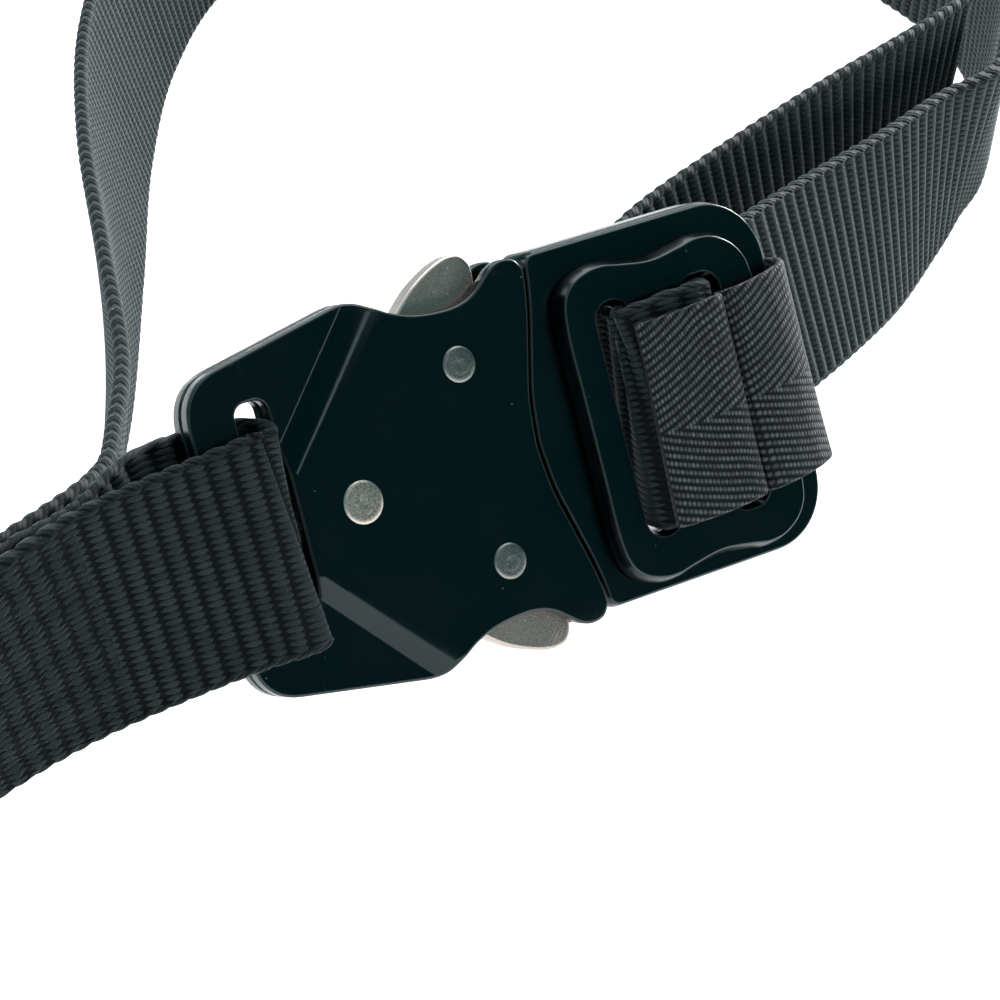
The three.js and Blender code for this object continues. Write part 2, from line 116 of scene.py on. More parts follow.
# Round dots in a few cells of an uneven pattern.
def scatter(tree, place, cells, channel, share, dot):
    cell = addNode(tree, "ShaderNodeTexVoronoi")
    plug(tree, cell.inputs["Vector"], place)
    plug(tree, cell.inputs["Scale"], cells)
    pick = addNode(tree, "ShaderNodeSeparateColor")
    tree.links.new(cell.outputs["Color"], pick.inputs["Color"])
    rare = calc(tree, "LESS_THAN", pick.outputs[channel], share)
    return times(tree, rare, span(tree, cell.outputs["Distance"], *dot, 1.0, 0.0))


# Whole steps of a running value, and its share of the step it is in.
def wholeAndShare(tree, value):
    whole = calc(tree, "FLOOR", value)
    return whole, minus(tree, value, whole)


# A round hump over a share from 0 to 1.
def hump(tree, share, power):
    return calc(tree, "POWER", calc(tree, "SINE", times(tree, share, math.pi)), power)


# A chance value for each bead, from its row and its place in the row.
def beadChance(tree, row, count):
    pair = addNode(tree, "ShaderNodeCombineXYZ")
    tree.links.new(row, pair.inputs["X"])
    tree.links.new(count, pair.inputs["Y"])
    chance = addNode(tree, "ShaderNodeTexWhiteNoise", noise_dimensions="2D")
    tree.links.new(pair.outputs[0], chance.inputs["Vector"])
    return chance.outputs["Value"]


# A strap's own map in millimetres: the way along it and the whole way round it, with a quarter of that.
def readMap(tree, take):
    split = addNode(tree, "ShaderNodeSeparateXYZ")
    tree.links.new(take["Map"], split.inputs[0])
    quarter = times(tree, take["Half Round"], 0.5)
    return (times(tree, split.outputs["X"], 1000.0), times(tree, split.outputs["Y"], 1000.0),
            quarter, times(tree, quarter, -1.0))


number, vector = "NodeSocketFloat", "NodeSocketVector"


def newGroup(name, inputs, outputs):
    tree = bpy.data.node_groups.new(name, "ShaderNodeTree")
    for label, kind, value in inputs:
        socket = tree.interface.new_socket(label, in_out="INPUT", socket_type=kind)
        if value is not None:
            socket.default_value = value
    for label in outputs:
        tree.interface.new_socket(label, in_out="OUTPUT", socket_type=number)
    return tree, tree.nodes.new("NodeGroupInput").outputs, tree.nodes.new("NodeGroupOutput").inputs


def useGroup(tree, group, values):
    node = addNode(tree, "ShaderNodeGroup", node_tree=group)
    for label, value in values.items():
        plug(tree, node.inputs[label], value)
    return node.outputs


def newMaterial(name, **settings):
    material = bpy.data.materials.new(name)
    material.use_nodes = True
    tree = material.node_tree
    shader = tree.nodes["Principled BSDF"]
    for label, value in settings.items():
        shader.inputs[label.replace("_", " ")].default_value = value
    return material, tree, shader


def addBump(tree, shader, height, distance):
    bump = addNode(tree, "ShaderNodeBump")
    bump.inputs["Strength"].default_value = 1.0
    bump.inputs["Distance"].default_value = distance
    tree.links.new(height, bump.inputs["Height"])
    tree.links.new(bump.outputs["Normal"], shader.inputs["Normal"])


def objectPlace(tree):
    return addNode(tree, "ShaderNodeTexCoord").outputs["Object"]


def ownMap(tree):
    return addNode(tree, "ShaderNodeTexCoord").outputs["UV"]


# Grain shared by the metals: fine blasted bumps, sparse specks and a slow drift of tone.
grainLook = {"fineDetail": 2.0, "cells": 1900.0, "dot": (0.1, 0.3), "drift": 120.0}


def buildGrain():
    tree, take, out = newGroup(
        "blasted grain",
        [("Place", vector, None), ("Fine", number, 9000.0), ("Specks", number, 0.06)],
        ["Height", "Speck", "Drift"])
    fine = noise(tree, take["Place"], take["Fine"], grainLook["fineDetail"], 0.5)
    speck = scatter(tree, take["Place"], grainLook["cells"], "Red", take["Specks"], grainLook["dot"])
    tree.links.new(fine, out["Height"])
    tree.links.new(speck, out["Speck"])
    tree.links.new(noise(tree, take["Place"], grainLook["drift"]), out["Drift"])
    return tree


# Ribbed webbing: scales of its unevenness, then the form of a yarn, of the selvedge and of the tones.
ribWeave = {"wanderScale": 520.0, "ribWander": 0.6, "yarnWander": 1.6, "fibreScale": 2600.0,
            "fineScale": 6500.0, "bead": 0.8, "reach": (0.78, -0.05), "fibreReach": 0.24, "soft": 0.25,
            "parting": 0.3, "selvedge": (11.5, 12.1), "strand": 0.7, "plait": (0.35, 0.65),
            "top": (0.3, 0.95), "chanceShare": 0.35, "fineSpan": (0.35, 0.65), "fineShare": 0.5,
            "fibreShare": 0.3, "sewnDull": 0.45, "edgeDull": 0.6}


def buildRibs():
    tree, take, out = newGroup(
        "webbing ribs",
        [("Map", vector, None), ("Rib", number, 2.66), ("Yarn", number, 0.76), ("Slant", number, 0.3),
         ("Half Round", number, 26.7), ("Strand Slope", number, 0.3), ("Sewn From", number, 0.0),
         ("Sewn To", number, 0.0)],
        ["Height", "Top", "Tone"])
    length, around, quarter, below = readMap(tree, take)
    side = calc(tree, "WRAP", around, quarter, below)
    fromEdge = calc(tree, "WRAP", minus(tree, around, quarter), quarter, below)
    # Where the plies are sewn the yarns wander.
    sewn = times(tree, calc(tree, "GREATER_THAN", length, take["Sewn From"]),
                 calc(tree, "LESS_THAN", length, take["Sewn To"]))
    wander = times(tree, minus(tree, noise(tree, take["Map"], ribWeave["wanderScale"]), 0.5), sewn)
    ribs = calc(tree, "DIVIDE", length, take["Rib"])
    row, inRib = wholeAndShare(tree, plus(tree, ribs, times(tree, wander, ribWeave["ribWander"])))
    fromCrest = calc(tree, "ABSOLUTE", calc(tree, "MULTIPLY_ADD", inRib, 2.0, -1.0))
    # Yarns pass over a rib side by side, half a yarn further on at the next rib.
    stagger = times(tree, calc(tree, "PINGPONG", row, 1.0), 0.5)
    tilt = times(tree, minus(tree, inRib, 0.5), take["Slant"])
    shift = plus(tree, plus(tree, stagger, tilt), times(tree, wander, ribWeave["yarnWander"]))
    strand, inYarn = wholeAndShare(tree, plus(tree, calc(tree, "DIVIDE", side, take["Yarn"]), shift))
    bead = hump(tree, inYarn, ribWeave["bead"])
    # Each yarn is a tongue that reaches into the valley; between the tongues the gap is dark, painted shade.
    fibre = noise(tree, take["Map"], ribWeave["fibreScale"])
    reach = calc(tree, "MULTIPLY_ADD", bead, *ribWeave["reach"])
    reach = plus(tree, reach, times(tree, fibre, ribWeave["fibreReach"]))
    soft = ribWeave["soft"]
    body = span(tree, fromCrest, minus(tree, reach, soft), plus(tree, reach, soft), 1.0, 0.0)
    parting = times(tree, minus(tree, 1.0, bead), ribWeave["parting"])
    body = times(tree, body, minus(tree, 1.0, parting))
    # Strands of three yarns are plaited along the selvedge.
    edge = span(tree, calc(tree, "ABSOLUTE", side), *ribWeave["selvedge"])
    slope = times(tree, calc(tree, "ABSOLUTE", fromEdge), take["Strand Slope"])
    lay = calc(tree, "FRACT", plus(tree, ribs, slope))
    threeFold = calc(tree, "ABSOLUTE", calc(tree, "SINE", times(tree, lay, 3 * math.pi)))
    plait = calc(tree, "MULTIPLY_ADD", threeFold, *ribWeave["plait"])
    loop = times(tree, hump(tree, lay, ribWeave["strand"]), plait)
    body = plus(tree, times(tree, body, minus(tree, 1.0, edge)), times(tree, loop, edge))
    # Each yarn has its own tone, with finer fibres in it; the sewn length and the selvedge are darker.
    fine = span(tree, noise(tree, take["Map"], ribWeave["fineScale"]), *ribWeave["fineSpan"])
    tone = calc(tree, "MULTIPLY_ADD", beadChance(tree, row, strand), ribWeave["chanceShare"],
                times(tree, fine, ribWeave["fineShare"]))
    tone = calc(tree, "MULTIPLY_ADD", fibre, ribWeave["fibreShare"], tone)
    dull = calc(tree, "MAXIMUM", times(tree, sewn, ribWeave["sewnDull"]),
                times(tree, edge, ribWeave["edgeDull"]))
    tree.links.new(body, out["Height"])
    tree.links.new(span(tree, body, *ribWeave["top"]), out["Top"])
    tree.links.new(times(tree, tone, minus(tree, 1.0, dull)), out["Tone"])
    return tree


# Herringbone tape: rows of dots that slant away from one line along the tape.
herringWeave = {"lean": 0.35, "ridge": 1.7, "bead": 0.9, "relief": (0.75, 0.25), "top": (0.22, 0.82)}


def buildHerringbone():
    tree, take, out = newGroup(
        "herringbone",
        [("Map", vector, None), ("Row", number, 0.88), ("Dot", number, 0.48), ("Slope", number, 21.0),
         ("Turn", number, -1.0), ("Half Round", number, 24.0)],
        ["Height", "Top", "Tone"])
    length, around, quarter, below = readMap(tree, take)
    side = calc(tree, "WRAP", around, quarter, below)
    away = calc(tree, "ABSOLUTE", minus(tree, side, take["Turn"]))
    angle = calc(tree, "RADIANS", take["Slope"])
    climb = times(tree, length, calc(tree, "SINE", angle))
    line = minus(tree, times(tree, away, calc(tree, "COSINE", angle)), climb)
    row, inRow = wholeAndShare(tree, calc(tree, "DIVIDE", line, take["Row"]))
    dots = plus(tree, calc(tree, "DIVIDE", length, take["Dot"]), times(tree, inRow, herringWeave["lean"]))
    count, inDot = wholeAndShare(tree, dots)
    dot = calc(tree, "MULTIPLY_ADD", hump(tree, inDot, herringWeave["bead"]), *herringWeave["relief"])
    body = times(tree, hump(tree, inRow, herringWeave["ridge"]), dot)
    tree.links.new(body, out["Height"])
    tree.links.new(span(tree, body, *herringWeave["top"]), out["Top"])
    tree.links.new(beadChance(tree, row, count), out["Tone"])
    return tree


# A few pale lint specks that settle on dark cloth.
lintLook = {"cells": 420.0, "dot": (0.04, 0.09), "colour": (0.35, 0.35, 0.34, 1)}


def buildLint():
    tree, take, out = newGroup("lint", [("Place", vector, None), ("Amount", number, 0.012)], ["Lint"])
    lint = scatter(tree, take["Place"], lintLook["cells"], "Green", take["Amount"], lintLook["dot"])
    tree.links.new(lint, out["Lint"])
    return tree


grainGroup = buildGrain()
ribGroup = buildRibs()
herringboneGroup = buildHerringbone()
lintGroup = buildLint()
print("shader groups built")

# Black anodising: a dark coat with a cold gloss; a paler colour on the edges that the rim attribute marks
# paints a highlight line there.
anodised = {"face": (0.00005, 0.0011, 0.0012, 1), "drift": (0.0001, 0.0018, 0.0020, 1),
            "rim": (0.055, 0.06, 0.062, 1), "highlightShare": 0.6, "speck": (0.2, 0.2, 0.2, 1), "speckShare": 0.5,
            "fine": 7000.0, "specks": 0.004, "roughness": (0.1, 0.17),  # change with the drift, least
            "bump": 0.000008}


# The rim attribute marks where a highlight is painted on rounded edges.
def paintedHighlightMark(tree):
    return addNode(tree, "ShaderNodeAttribute", attribute_name="rim").outputs["Fac"]


def makeAnodised():
    material, tree, shader = newMaterial("black anodised", Specular_IOR_Level=0.45,
                                         Specular_Tint=(0.8, 0.95, 1.0, 1))
    grain = useGroup(tree, grainGroup,
                     {"Place": objectPlace(tree), "Fine": anodised["fine"], "Specks": anodised["specks"]})
    base = blendColour(tree, grain["Drift"], anodised["face"], anodised["drift"])
    # Painted highlight: the pale rim colour on the rounded edges.
    base = blendColour(tree, times(tree, paintedHighlightMark(tree), anodised["highlightShare"]), base, anodised["rim"])
    base = blendColour(tree, times(tree, grain["Speck"], anodised["speckShare"]), base, anodised["speck"])
    tree.links.new(base, shader.inputs["Base Color"])
    rough = calc(tree, "MULTIPLY_ADD", grain["Drift"], *anodised["roughness"])
    tree.links.new(rough, shader.inputs["Roughness"])
    addBump(tree, shader, grain["Height"], anodised["bump"])
    return material


# Tumbled steel of the levers, and how the rivets' differs from it.
leverLook = {"dark": (0.29, 0.23, 0.21, 1), "pale": (0.45, 0.35, 0.31, 1), "bright": (0.75, 0.66, 0.6, 1),
             "toneSpan": (0.35, 0.65), "roughness": (0.2, 0.32), "fine": 5200.0, "specks": 0.05,
             "highlightShare": 0.6, "bump": 0.00003}
centreLook = dict(leverLook, dark=(0.26, 0.215, 0.19, 1), pale=(0.53, 0.44, 0.385, 1), fine=4200.0,
                  specks=0.1)
sideLook = dict(leverLook, dark=(0.12, 0.122, 0.12, 1), pale=(0.22, 0.212, 0.206, 1),
                bright=(0.42, 0.4, 0.38, 1))


def makeSteel(name, look):
    material, tree, shader = newMaterial(name, Metallic=1.0)
    grain = useGroup(tree, grainGroup,
                     {"Place": objectPlace(tree), "Fine": look["fine"], "Specks": look["specks"]})
    base = blendColour(tree, span(tree, grain["Height"], *look["toneSpan"]), look["dark"], look["pale"])
    # Painted highlight: the bright colour on the edges and walls that the rim attribute marks; the specks
    # after it are the steel's own.
    base = blendColour(tree, times(tree, paintedHighlightMark(tree), look["highlightShare"]), base, look["bright"])
    base = blendColour(tree, grain["Speck"], base, look["bright"])
    tree.links.new(base, shader.inputs["Base Color"])
    rough = calc(tree, "MULTIPLY_ADD", grain["Drift"], *look["roughness"])
    tree.links.new(rough, shader.inputs["Roughness"])
    addBump(tree, shader, grain["Height"], look["bump"])
    return material


# Cloth: charcoal yarns, with dark gaps between them painted as shade.
webLook = {"gap": (0.0005, 0.0010, 0.0012, 1), "yarn": (0.006, 0.0095, 0.0105, 1),
           "worn": (0.036, 0.043, 0.046, 1), "yarnWidth": 0.76, "lint": 0.012, "bump": 0.0002}
tapeLook = {"gap": (0.0005, 0.0008, 0.0010, 1), "yarn": (0.05, 0.053, 0.056, 1),
            "worn": (0.125, 0.13, 0.135, 1), "lint": 0.004, "bump": 0.0002}
threadLook = {"dark": (0.003, 0.004, 0.0045, 1), "pale": (0.012, 0.014, 0.0155, 1), "twist": 1500.0,
              "bump": 0.00006}


def dressCloth(tree, shader, weave, look):
    lint = useGroup(tree, lintGroup, {"Place": objectPlace(tree), "Amount": look["lint"]})["Lint"]
    yarn = blendColour(tree, weave["Tone"], look["yarn"], look["worn"])
    # Painted shade: the gap colour darkens the valleys between the webbing's yarns and the tape's dots,
    # where shade falls.
    base = blendColour(tree, weave["Top"], look["gap"], yarn)
    base = blendColour(tree, lint, base, lintLook["colour"])
    tree.links.new(base, shader.inputs["Base Color"])
    addBump(tree, shader, weave["Height"], look["bump"])


def makeWebbing(half, sewn):
    material, tree, shader = newMaterial("ribbed webbing", Roughness=0.7, Specular_IOR_Level=0.18,
                                         Sheen_Weight=0.22, Sheen_Roughness=0.35,
                                         Sheen_Tint=(0.8, 0.93, 1.0, 1))
    ribs = useGroup(tree, ribGroup, {"Map": ownMap(tree), "Rib": web["rib"], "Yarn": webLook["yarnWidth"],
                                     "Half Round": half, "Strand Slope": web["strandSlope"],
                                     "Sewn From": sewn[0], "Sewn To": sewn[1]})
    dressCloth(tree, shader, ribs, webLook)
    return material


def makeTape(half):
    material, tree, shader = newMaterial("herringbone tape", Roughness=0.65, Specular_IOR_Level=0.2,
                                         Sheen_Weight=0.08, Sheen_Roughness=0.4)
    weave = useGroup(tree, herringboneGroup, {"Map": ownMap(tree), "Half Round": half})
    dressCloth(tree, shader, weave, tapeLook)
    return material


def makeThread():
    material, tree, shader = newMaterial("black thread", Roughness=0.8, Specular_IOR_Level=0.2)
    wave = addNode(tree, "ShaderNodeTexWave", bands_direction="DIAGONAL")
    tree.links.new(objectPlace(tree), wave.inputs["Vector"])
    wave.inputs["Scale"].default_value = threadLook["twist"]
    twist = wave.outputs["Fac"]
    base = blendColour(tree, twist, threadLook["dark"], threadLook["pale"])
    tree.links.new(base, shader.inputs["Base Color"])
    addBump(tree, shader, twist, threadLook["bump"])
    return material


# Mesh helpers
def addObject(name, data):
    item = bpy.data.objects.new(name, data)
    scene.collection.objects.link(item)
    return item


def finishPiece(bm, name, body, material, nodes=(), place=None):
    if place is not None:
        bmesh.ops.transform(bm, matrix=place, verts=bm.verts)
    mesh = bpy.data.meshes.new(name)
    bm.to_mesh(mesh)
    bm.free()
    mesh.shade_smooth()
    mesh.materials.append(material)
    piece = addObject(name, mesh)
    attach(piece, body)
    if nodes:
        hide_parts(*nodes)
    print("made", name, len(mesh.polygons), "faces")
    return piece


def keepFlatsFlat(piece):
    modifier = piece.modifiers.new("flat faces", "WEIGHTED_NORMAL")
    modifier.keep_sharp = True
    modifier.weight = 100


# Smooth line through points, open or closed.
def curveThrough(points, steps=8, closed=False):
    line = []
    count = len(points)
    for i in range(count if closed else count - 1):
        if closed:
            picks = [points[(i + k) % count] for k in (-1, 0, 1, 2)]
        else:
            picks = [points[min(max(i + k, 0), count - 1)] for k in (-1, 0, 1, 2)]
        a, b, c, d = (np.array(p, float) for p in picks)
        for k in range(steps):
            t = k / steps
            line.append(b + 0.5 * t * (c - a + t * (2 * a - 5 * b + 4 * c - d + t * (3 * (b - c) + d - a))))
    if not closed:
        line.append(np.array(points[-1], float))
    return [tuple(p) for p in line]


def roundCorner(start, corner, end, steps=10):
    shares = [k / steps for k in range(steps + 1)]
    return [tuple((1 - t) ** 2 * a + 2 * t * (1 - t) * b + t * t * c for a, b, c in zip(start, corner, end))
            for t in shares]


def arc(centre, radius, first, last, steps=10):
    angles = [math.radians(first + (last - first) * k / steps) for k in range(steps + 1)]
    return [(centre[0] + radius * math.cos(t), centre[1] + radius * math.sin(t)) for t in angles]


def slotLoop(left, right, half, corner, shift=0.0):
    low, high = shift - half + corner, shift + half - corner
    return (arc((right - corner, low), corner, -90, 0) + arc((right - corner, high), corner, 0, 90)
            + arc((left + corner, high), corner, 90, 180) + arc((left + corner, low), corner, 180, 270))


def mirrored(line):
    return [(u, -v) for u, v in reversed(line)]


def tidyLoop(loop, least=0.02):
    kept = []
    for point in loop:
        if not kept or math.dist(point, kept[-1]) > least:
            kept.append(point)
    if math.dist(kept[0], kept[-1]) <= least:
        kept.pop()
    return kept


# Profile of a rim as steps inwards and outwards: a sloped wall, then a round turn onto the face.
def rimProfile(radius, steps=4, draft=0.0, wall=0.0):
    start = math.atan2(wall, draft) if wall else math.pi / 2
    points = [(draft, wall)] if wall else []
    for k in range(1, steps + 1):
        angle = start * (1 - k / steps)
        points.append((draft + radius * (math.sin(start) - math.sin(angle)),
                       wall + radius * (math.cos(angle) - math.cos(start))))
    return points


# Flat plate from an outline and its holes, with a rim profile for its front and its rear.
# The rim attribute marks the round turns, and the walls too where asked, for a painted highlight.
def plateBody(loops, low, high, frontRim, rearRim, highlightWall=0.0):
    bm = bmesh.new()
    layer = bm.verts.layers.float.new("rim")
    edges = []
    for loop in loops:
        verts = [bm.verts.new((u, v, low + rearRim[-1][1])) for u, v in tidyLoop(loop)]
        edges += [bm.edges.new((verts[i - 1], verts[i])) for i in range(len(verts))]
    filled = bmesh.ops.triangle_fill(bm, edges=edges, use_beauty=True, normal=(0, 0, 1))
    rear = [f for f in filled["geom"] if isinstance(f, bmesh.types.BMFace)]
    raised = bmesh.ops.extrude_face_region(bm, geom=rear)["geom"]
    front = [f for f in raised if isinstance(f, bmesh.types.BMFace)]
    lifted = [v for v in raised if isinstance(v, bmesh.types.BMVert)]
    wall = high - low - frontRim[-1][1] - rearRim[-1][1]
    bmesh.ops.translate(bm, verts=lifted, vec=(0, 0, wall))
    bmesh.ops.recalc_face_normals(bm, faces=bm.faces)
    for faces, profile in ((front, frontRim), (rear, rearRim)):
        last = (0.0, 0.0)
        for step, (inset, rise) in enumerate(profile):
            ring = bmesh.ops.inset_region(bm, faces=faces, thickness=inset - last[0], depth=rise - last[1],
                                          use_boundary=True, use_even_offset=True)["faces"]
            inner = {v for f in faces for v in f.verts}
            # Rings of the round turns, and the walls where asked, are marked for a painted highlight.
            for vert in {v for f in ring for v in f.verts}:
                vert[layer] = max(vert[layer], 1.0 if step and vert in inner else highlightWall)
            last = (inset, rise)
        for vert in {v for f in faces for v in f.verts}:
            vert[layer] = 0.0
    return bm


# Female half: two pressed plates with a raised pan, held by three rivets.
plates = {"gap": 0.15, "thick": 1.9, "rim": 0.36, "end": -33.9, "cornerStart": 12.8, "cornerBend": 18.1,
          "cornerEnd": (-28.9, 19.0), "shoulder": (-13.4, 21.86),
          "slot": {"left": -28.1, "right": -24.0, "half": 14.45, "corner": 1.5},
          "panLeft": -23.3, "panHalf": 5.3, "panSlant": 0.914, "panDrop": 1.45, "panSoft": 0.28,
          "panFoot": 0.16, "panFlare": 8.5, "flareFrom": 13.0, "flareRun": 8.0,
          "upperSlope": (0.0, 2.75), "lowerSlope": (0.85, 2.05)}  # a slope's start and its run
# where the bend and the foot of a slope are cut, and where their rounding is sampled
bendCuts = (-2.4, -2.0, -1.6, -1.2, -0.9, -0.6, -0.4, -0.25, -0.12, 0, 0.12, 0.25, 0.5, 0.9)
footCuts = (-0.15, -0.08, 0, 0.08, 0.15)
roundSamples = (-0.9, -0.65, -0.4, -0.15, 0.15, 0.4, 0.65, 0.9)
# u, v of the upper flank from the shoulder to the mouth, then of the mouth to its middle
plateFlank = [(-11.8, 22.0), (-10.4, 21.65), (-8.7, 20.7), (-6.5, 19.45), (-3.6, 18.5), (0, 18.15),
              (2.4, 18.4), (4.1, 19.1), (5.7, 20.3), (7.1, 21.35), (8.7, 21.8), (10.3, 21.4),
              (11.2, 20.2)]
plateMouth = [(11.1, 18.4), (10.4, 14.9), (9.25, 10.6), (7.9, 5.4), (7.3, 0)]
rivets = {"centre": {"at": (-16.2, 0), "radius": 2.5}, "upper": {"at": (0, 11.7), "radius": 2.1},
          "lower": {"at": (0, -11.7), "radius": 2.1}, "shank": 0.78, "gap": 0.15, "proud": 0.25, "face": 3.5,
          "highlightFrom": 0.9, "steps": 56}


def shankHole(name, centre=None):
    spot = rivets[name]
    return arc(centre or spot["at"], spot["radius"] * rivets["shank"] + rivets["gap"], 0, 360, steps=40)


def plateLoops():
    end = plates["end"]
    upper = roundCorner((end, plates["cornerStart"]), (end, plates["cornerBend"]), plates["cornerEnd"])
    upper += curveThrough([plates["shoulder"], *plateFlank])
    upper += curveThrough([plateFlank[-1], *plateMouth])
    holes = [slotLoop(**plates["slot"])] + [shankHole(name) for name in ("centre", "upper", "lower")]
    return [upper + mirrored(upper), *holes]


# Height of the pan's step; its upper bend is round and softer towards the plate's edges, its foot is crisp.
def panRise(u, v):
    left, half, slant = plates["panLeft"], plates["panHalf"], plates["panSlant"]
    start, run = plates["upperSlope"] if v > 0 else plates["lowerSlope"]
    oblique = (slant * (abs(v) - half) - (u - left)) / math.hypot(1, slant) - start
    reach = max(left - u, oblique)
    flare = min(max((abs(v) - plates["flareFrom"]) / plates["flareRun"], 0), 1)
    soft = plates["panSoft"] * (1 + plates["panFlare"] * flare * flare)
    bend = sum(max(reach + offset * soft, 0) for offset in roundSamples)
    foot = sum(max(reach - run + offset * plates["panFoot"], 0) for offset in roundSamples)
    return plates["panDrop"] * (1 - (bend - foot) / len(roundSamples) / run)


def formPan(bm):
    left, half, slant = plates["panLeft"], plates["panHalf"], plates["panSlant"]
    upperStart, upperRun = plates["upperSlope"]
    lowerStart, lowerRun = plates["lowerSlope"]
    for away, v, start, run in (((-1, 0, 0), 0, 0, upperRun), ((-1, slant, 0), half, upperStart, upperRun),
                                ((-1, -slant, 0), -half, lowerStart, lowerRun)):
        away = Vector(away).normalized()
        for cut in (*bendCuts, run / 2, *(run + step for step in footCuts)):
            bmesh.ops.bisect_plane(bm, geom=bm.verts[:] + bm.edges[:] + bm.faces[:], dist=0.0005,
                                   plane_co=Vector((left, v, 0)) + away * (start + cut), plane_no=away)
    for vert in bm.verts:
        vert.co.z += panRise(vert.co.x, vert.co.y)


def makePlates(material):
    low = plates["gap"]
    rim = rimProfile(plates["rim"])
    bm = plateBody(plateLoops(), low, low + plates["thick"], rim, rim)
    formPan(bm)
    rear = bm.copy()
    bmesh.ops.scale(rear, vec=(1, 1, -1), verts=rear.verts)
    bmesh.ops.reverse_faces(rear, faces=rear.faces)
    for body, name, node in ((bm, "topPlate", "female_top_plate"), (rear, "backPlate", "female_back_plate")):
        keepFlatsFlat(finishPiece(body, name, "loop", material, [node], toFrame))


# Rivets: turned pins with low domed heads; a set mark and a faint ring on each head.
# The head's profile is given as a share of the radius and a height from the top.
headProfile = [(0, -0.07), (0.14, -0.06), (0.24, -0.01), (0.4, 0), (0.56, -0.02), (0.62, -0.05),
               (0.68, -0.035), (0.84, -0.07), (0.94, -0.14), (0.99, -0.24)]


def makeRivet(name, material, node):
    spot = rivets[name]
    radius, face = spot["radius"], rivets["face"]
    top = face + rivets["proud"]
    half = [(radius * share, top + drop) for share, drop in headProfile]
    half += [(radius, face), (radius * rivets["shank"], face)]
    profile = half + [(r, -z) for r, z in reversed(half)]
    bm = bmesh.new()
    layer = bm.verts.layers.float.new("rim")
    verts = [bm.verts.new((r, 0, z)) for r, z in profile]
    # The outer ring of each head is marked for a painted highlight.
    for vert in verts:
        vert[layer] = 1.0 if vert.co.x > radius * rivets["highlightFrom"] else 0.0
    edges = [bm.edges.new(pair) for pair in zip(verts, verts[1:])]
    bmesh.ops.spin(bm, geom=verts + edges, cent=(0, 0, 0), axis=(0, 0, 1), angle=2 * math.pi,
                   steps=rivets["steps"], use_merge=True)
    bmesh.ops.remove_doubles(bm, verts=bm.verts, dist=0.001)
    bmesh.ops.recalc_face_normals(bm, faces=bm.faces)
    bmesh.ops.translate(bm, verts=bm.verts, vec=(*spot["at"], 0))
    finishPiece(bm, name + "Rivet", "loop", material, [node], toFrame)


# Release levers: a finger tab and a hook about each rivet.
lever = {"half": 1.3, "rim": 0.38, "upperTurn": 5.0}
leverEdge = [(6.6, 8.6), (6.6, 10.2), (5.7, 11.4), (4.2, 11.75), (2.7, 11.55), (1.2, 11.1), (-0.5, 10.4),
             (-2.1, 9.55), (-4.3, 7.9), (-5.3, 6.4), (-5.6, 4.2), (-7.0, 1.2), (-7.1, 0), (-6.9, -1.7),
             (-6.06, -3.7), (-3.2, -3.7), (-1.3, -3.68), (0.6, -3.85), (2.5, -3.0), (3.7, -1.2),
             (4.3, 1.5), (5.7, 5.2)]


def makeLever(name, sign, material):
    spot = rivets[name]
    loops = [curveThrough(leverEdge, steps=6, closed=True), shankHole(name, (0, 0))]
    rim = rimProfile(lever["rim"])
    # The lever's walls are marked too, for a painted highlight on them.
    bm = plateBody(loops, -lever["half"], lever["half"], rim, rim, highlightWall=1.0)
    if sign > 0:
        turned = Matrix.Rotation(math.radians(lever["upperTurn"]), 3, "Z")
        bmesh.ops.rotate(bm, verts=bm.verts, matrix=turned)
    else:
        bmesh.ops.scale(bm, verts=bm.verts, vec=(1, -1, 1))
        bmesh.ops.reverse_faces(bm, faces=bm.faces)
    bmesh.ops.translate(bm, verts=bm.verts, vec=(*spot["at"], 0))
    keepFlatsFlat(finishPiece(bm, name + "Lever", name + "_lever", material,
                              ["lever_" + name], toFrame))


# Male half: frame with a window, and the tongue that goes in between the plates.
maleFrame = {"left": 13.6, "right": 44.3, "half": 21.5, "corner": 8.0, "shift": 0.2, "back": -3.0,
             "front": 2.7, "rim": 0.3, "draft": 0.32, "wall": 1.4, "lipGap": 0.4, "hornBend": 11.9,
             "horn": (11.65, 19.9), "tongueHalf": 1.3, "tongueRim": 0.2,
             "window": {"left": 17.5, "right": 36.0, "half": 13.95, "corner": 2.2, "shift": -0.2}}
tongueEdge = [(12.0, 7.0), (-7.6, 7.0), (-7.6, 9.2), (-10.0, 9.2), (-12.6, 6.2)]  # u, v of its upper half


def makeMaleFrame(material):
    right, half, corner = maleFrame["right"], maleFrame["half"], maleFrame["corner"]
    lip = [(u + maleFrame["lipGap"], v) for u, v in plateMouth]
    upper = arc((right - corner, half - corner), corner, 0, 90, steps=16)
    upper += roundCorner((maleFrame["left"], half), (maleFrame["hornBend"], half), maleFrame["horn"])
    upper += curveThrough([maleFrame["horn"], *lip])
    frontRim = rimProfile(maleFrame["rim"], draft=maleFrame["draft"], wall=maleFrame["wall"])
    loops = [upper + mirrored(upper), slotLoop(**maleFrame["window"])]
    bm = plateBody(loops, maleFrame["back"], maleFrame["front"], frontRim, rimProfile(maleFrame["rim"]))
    bmesh.ops.translate(bm, verts=bm.verts, vec=(0, maleFrame["shift"], 0))
    tongue = tongueEdge + mirrored(tongueEdge)
    tongueRim = rimProfile(maleFrame["tongueRim"], steps=2)
    inner = plateBody([tongue], -maleFrame["tongueHalf"], maleFrame["tongueHalf"], tongueRim, tongueRim)
    spare = bpy.data.meshes.new("tongue")
    inner.to_mesh(spare)
    inner.free()
    bm.from_mesh(spare)
    bpy.data.meshes.remove(spare)
    keepFlatsFlat(finishPiece(bm, "maleFrame", "loop", material, ["male_frame"], toFrame))


